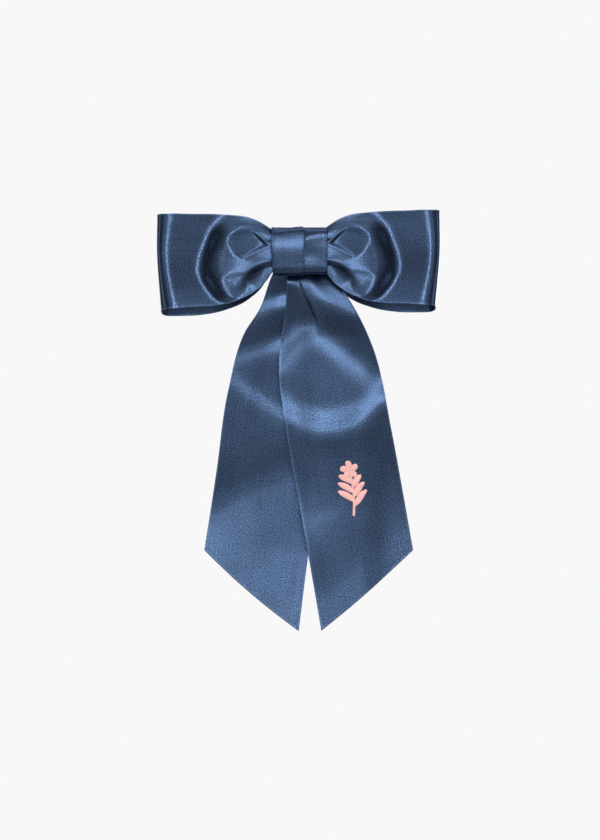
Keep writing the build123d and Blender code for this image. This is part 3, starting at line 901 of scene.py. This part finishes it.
def arc(a, b, bend, count=24):
    """A line from a to b, bent sideways by a share of its length."""
    a, b = np.array(a, float), np.array(b, float)
    t = np.linspace(0, 1, count)[:, None]
    d = b - a
    n = np.array([-d[1], d[0]])
    return a + d * t + n * bend * 4 * t * (1 - t)


satin_stitch(arc((-1.4, -13.5), (0, 8.0), -0.045, 50), lambda t: 0.62)
for height, length in ((-8.5, 9.2), (-4.0, 8.4), (0.5, 7.2)):
    for side, rise in ((1, 0.0), (-1, 1.8)):
        tip_z = height + rise + length * math.sin(LEAF_ANGLE)
        end = (side * length * math.cos(LEAF_ANGLE), tip_z)
        satin_stitch(arc((0.2 * side, height + rise), end, 0.06 * side), leaf_width, 0.55)
for k in range(5):
    a = math.radians(90 + 72 * k)
    end = (4.5 * math.cos(a), FLOWER + 4.5 * math.sin(a))
    start = (0.9 * math.cos(a), FLOWER + 0.9 * math.sin(a))
    satin_stitch(arc(start, end, 0.0), petal_width, 0.15)
satin_stitch(arc((-1.1, FLOWER), (1.1, FLOWER), 0.0), heart_width, 0.0)


def surface_y(x, z):
    hit = right_tree.ray_cast(Vector((x * MM, -0.05, z * MM)), Vector((0, 1, 0)))
    return hit[0].y / MM if hit[0] is not None else -12.0


points, faces = [], []
for start, end, height in stitches:
    a, b = on_tail(*start), on_tail(*end)
    n = 9
    t = np.linspace(0, 1, n)
    flat = a + (b - a) * t[:, None]
    direction = (b - a) / max(np.linalg.norm(b - a), 1e-9)
    sideways = np.array([-direction[1], direction[0]])
    ya, yb = surface_y(*a), surface_y(*b)
    arch = height * np.sqrt(np.clip(1 - (2 * t - 1) ** 2, 0, 1)) - 0.06
    base = len(points)
    for k in range(6):
        c = 2 * math.pi * k / 6
        for i in range(n):
            f = flat[i] + sideways * STRAND * 0.9 * math.cos(c)
            y = ya + (yb - ya) * t[i] - arch[i] - STRAND * 0.7 * math.sin(c)
            points.append((f[0], y, f[1]))
    for k in range(6):
        k2 = (k + 1) % 6
        for i in range(n - 1):
            near, far = base + k * n, base + k2 * n
            faces.append([near + i, near + i + 1, far + i + 1, far + i])
    faces.append([base + k * n for k in range(5, -1, -1)])
    faces.append([base + k * n + n - 1 for k in range(6)])
sprig = make_mesh("embroidered_sprig_stitches", points, faces)
sprig.data.materials.append(thread_pink)
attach(sprig, "right_tail")
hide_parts("embroidered_sprig")

# ---------------------------------------------------------------- the clip's metal
for node, material in (
    ("base_plate", plate_metal),
    ("catch_bracket", plate_metal),
    ("catch_rivet", pin_metal),
    ("catch_ear_upper", spring_metal),
    ("catch_ear_lower", spring_metal),
    ("clip_arm", plate_metal),
    ("hinge_pin", pin_metal),
    ("tension_leaf", spring_metal),
):
    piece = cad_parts[node]
    piece.data.materials.clear()
    piece.data.materials.append(material)
    bevel = piece.modifiers.new("edges", "BEVEL")
    bevel.width = 0.00012
    bevel.segments = 2
    bevel.limit_method = "ANGLE"
    bevel.angle_limit = math.radians(35)
    piece.data.polygons.foreach_set("use_smooth", [True] * len(piece.data.polygons))
    normals = piece.modifiers.new("normals", "WEIGHTED_NORMAL")
    normals.keep_sharp = True

# ---------------------------------------------------------------- studio
scene = bpy.context.scene
scene.view_settings.view_transform = "Standard"
world = bpy.data.worlds.new("studio")
scene.world = world
world.use_nodes = True
tree = world.node_tree
shown = tree.nodes["Background"]
shown.inputs[0].default_value = PAPER
shown.inputs[1].default_value = 1.0
room = tree.nodes.new("ShaderNodeBackground")
room.inputs[0].default_value = (0.93, 0.96, 1.0, 1)
room.inputs[1].default_value = 0.68
direction = tree.nodes.new("ShaderNodeTexCoord")
axes = tree.nodes.new("ShaderNodeSeparateXYZ")
tree.links.new(direction.outputs["Generated"], axes.inputs[0])
sideways = math_node(tree, "ABSOLUTE", (axes, 0))
walls = ramp(tree, 0.46, 0.80, ((1.0, 0.93, 0.93, 1), (0.12, 0.11, 0.11, 1)))
tree.links.new(sideways.outputs[0], walls.inputs[0])
tree.links.new(walls.outputs[0], room.inputs[0])
path = tree.nodes.new("ShaderNodeLightPath")
mix = tree.nodes.new("ShaderNodeMixShader")
tree.links.new(path.outputs["Is Camera Ray"], mix.inputs[0])
tree.links.new(room.outputs[0], mix.inputs[1])
tree.links.new(shown.outputs[0], mix.inputs[2])
tree.links.new(mix.outputs[0], tree.nodes["World Output"].inputs[0])

# The floor glows in the ground's own colour, so that no horizon shows, and lights nothing.
FLOOR, FLOOR_Z = 6, -0.19
corners = [(-FLOOR, -FLOOR), (FLOOR, -FLOOR), (FLOOR, FLOOR), (-FLOOR, FLOOR)]
floor_mesh = bpy.data.meshes.new("floor")
floor_mesh.from_pydata([(x, y, FLOOR_Z) for x, y in corners], [], [(0, 1, 2, 3)])
floor = bpy.data.objects.new("floor", floor_mesh)
scene.collection.objects.link(floor)
floor_paint, tree, shader = nodes_of("floor")
glow = tree.nodes.new("ShaderNodeEmission")
glow.inputs[0].default_value = PAPER
tree.links.new(glow.outputs[0], tree.nodes["Material Output"].inputs[0])
floor.data.materials.append(floor_paint)
floor.visible_diffuse = False
floor.visible_glossy = False
floor.visible_shadow = False


def area_light(name, place, target, size, power, colour=(1, 1, 1)):
    data = bpy.data.lights.new(name, "AREA")
    data.shape = "RECTANGLE"
    data.size, data.size_y = size
    data.energy = power
    data.color = colour
    lamp = bpy.data.objects.new(name, data)
    lamp.location = place
    lamp.rotation_euler = (Vector(target) - Vector(place)).to_track_quat("-Z", "Y").to_euler()
    scene.collection.objects.link(lamp)
    return lamp


area_light("key", [c * MM for c in KEY], MIDDLE, (0.20, 0.30), 6.5)
area_light("fill", (0, -2.2, 0.36), MIDDLE, (1.9, 1.7), 11.0)
area_light("top", (0, -0.5, 1.3), MIDDLE, (1.2, 0.8), 5.0)
area_light("left", (-1.5, -0.2, -0.1), MIDDLE, (0.8, 0.9), 4.0)
area_light("right", (1.5, -0.2, -0.1), MIDDLE, (0.8, 0.9), 4.0)
area_light("back", (0.8, 1.2, -0.20), MIDDLE, (0.8, 0.8), 9.0)
area_light("back_top", (-0.4, 1.2, 0.7), MIDDLE, (0.8, 0.8), 8.0)

camera_data = bpy.data.cameras.new("camera")
camera_data.lens = 96.2
camera_data.sensor_width = 36.0
camera = bpy.data.objects.new("camera", camera_data)
camera.location = [c * MM for c in CAMERA]
camera.rotation_euler = (math.pi / 2, 0, 0)
scene.collection.objects.link(camera)
scene.camera = camera
